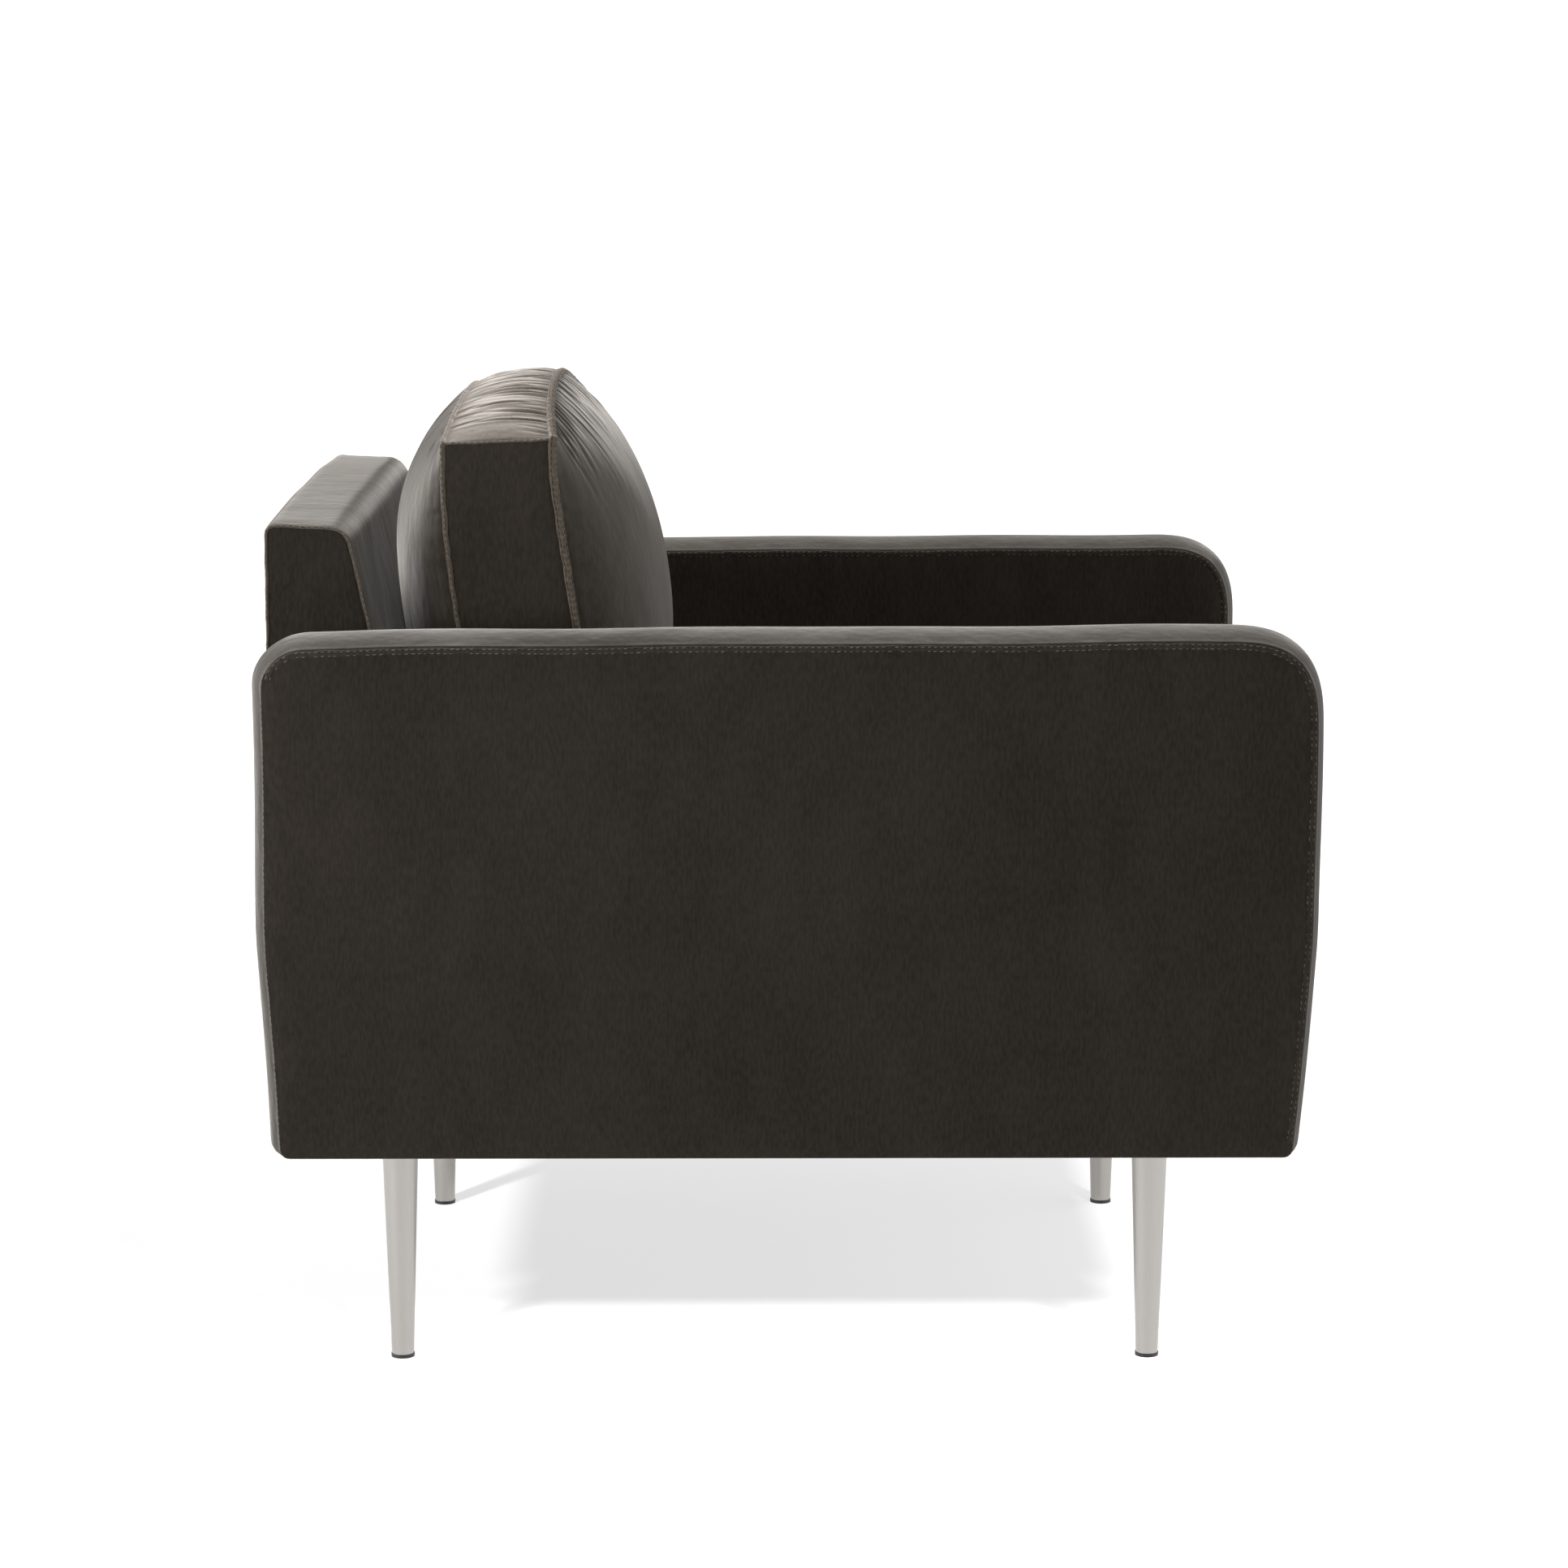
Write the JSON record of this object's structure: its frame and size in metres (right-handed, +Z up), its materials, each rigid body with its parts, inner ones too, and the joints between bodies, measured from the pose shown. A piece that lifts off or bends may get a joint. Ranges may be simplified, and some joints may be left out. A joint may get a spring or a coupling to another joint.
{
  "type": "upholstered armchair",
  "caption": "Square track-arm upholstered armchair with loose seat and back cushions on slim round tapered legs.",
  "frame": {"origin": "on the floor under the middle of the chair's outer box, level with the undersides of the glides", "axes": "+Z up; the chair faces -Y; +X towards the left hand of its sitter"},
  "size_m": [0.806, 0.878, 0.828],
  "materials": {
    "velvet": "matte",
    "brushed_nickel": "satin",
    "black_plastic": "matte",
    "zinc_steel": "satin",
    "spring_steel": "satin",
    "zip_nylon": "matte",
    "fibreboard": "matte",
    "hardwood": "matte",
    "foam": "matte",
    "felt": "matte",
    "deck_cloth": "matte",
    "dust_cloth": "matte",
    "webbing": "matte"
  },
  "bodies": {
    "chair_frame": {"arm_bolts": "zinc_steel", "back_bottom_rail": "hardwood", "back_foam": "foam", "back_inside_cover": "velvet", "back_left_gusset": "velvet", "back_left_stile": "hardwood", "back_outside_cover": "velvet", "back_right_gusset": "velvet", "back_right_stile": "hardwood", "back_top_rail": "hardwood", "back_webbing": "webbing", "base_front_rail": "hardwood", "base_left_rail": "hardwood", "base_rear_rail": "hardwood", "base_right_rail": "hardwood", "deck_cloth": "deck_cloth", "dust_cover": "dust_cloth", "front_left_leg": "brushed_nickel", "front_leg_bearer": "hardwood", "front_rail_cover": "velvet", "front_rail_foam": "foam", "front_right_leg": "brushed_nickel", "left_arm_bottom_rail": "hardwood", "left_arm_boxing": "velvet", "left_arm_foam": "foam", "left_arm_front_post": "hardwood", "left_arm_inner_board": "fibreboard", "left_arm_inner_cover": "velvet", "left_arm_outer_board": "fibreboard", "left_arm_outer_cover": "velvet", "left_arm_rear_post": "hardwood", "left_arm_top_rail": "hardwood", "leg_glides": "black_plastic", "leg_plate_screws": "zinc_steel", "leg_plates": "zinc_steel", "leg_studs": "zinc_steel", "rear_left_leg": "brushed_nickel", "rear_leg_bearer": "hardwood", "rear_right_leg": "brushed_nickel", "right_arm_bottom_rail": "hardwood", "right_arm_boxing": "velvet", "right_arm_foam": "foam", "right_arm_front_post": "hardwood", "right_arm_inner_board": "fibreboard", "right_arm_inner_cover": "velvet", "right_arm_outer_board": "fibreboard", "right_arm_outer_cover": "velvet", "right_arm_rear_post": "hardwood", "right_arm_top_rail": "hardwood", "seat_felt": "felt", "seat_springs": "spring_steel", "spring_clips": "spring_steel"},
    "seat_cushion": {"seat_cushion_filling": "foam", "seat_cushion_cover": "velvet", "seat_cushion_zip": "zip_nylon"},
    "back_cushion": {"back_cushion_filling": "foam", "back_cushion_cover": "velvet", "back_cushion_zip": "zip_nylon"},
    "seat_zip_slider": {"seat_cushion_zip_slider": "zip_nylon"},
    "back_zip_slider": {"back_cushion_zip_slider": "zip_nylon"}
  },
  "joints": [
    {"name": "back_cushion_lift", "type": "slide", "parent": "chair_frame", "child": "back_cushion", "axis": [0, 0, 1], "range_m": [0, 0.3]},
    {"name": "seat_cushion_pull", "type": "slide", "parent": "chair_frame", "child": "seat_cushion", "axis": [0, -1, 0], "range_m": [0, 0.72]},
    {"name": "seat_zip_run", "type": "slide", "parent": "seat_cushion", "child": "seat_zip_slider", "axis": [1, 0, 0], "range_m": [0, 0.436]},
    {"name": "back_zip_run", "type": "slide", "parent": "back_cushion", "child": "back_zip_slider", "axis": [1, 0, 0], "range_m": [0, 0.436]}
  ]
}
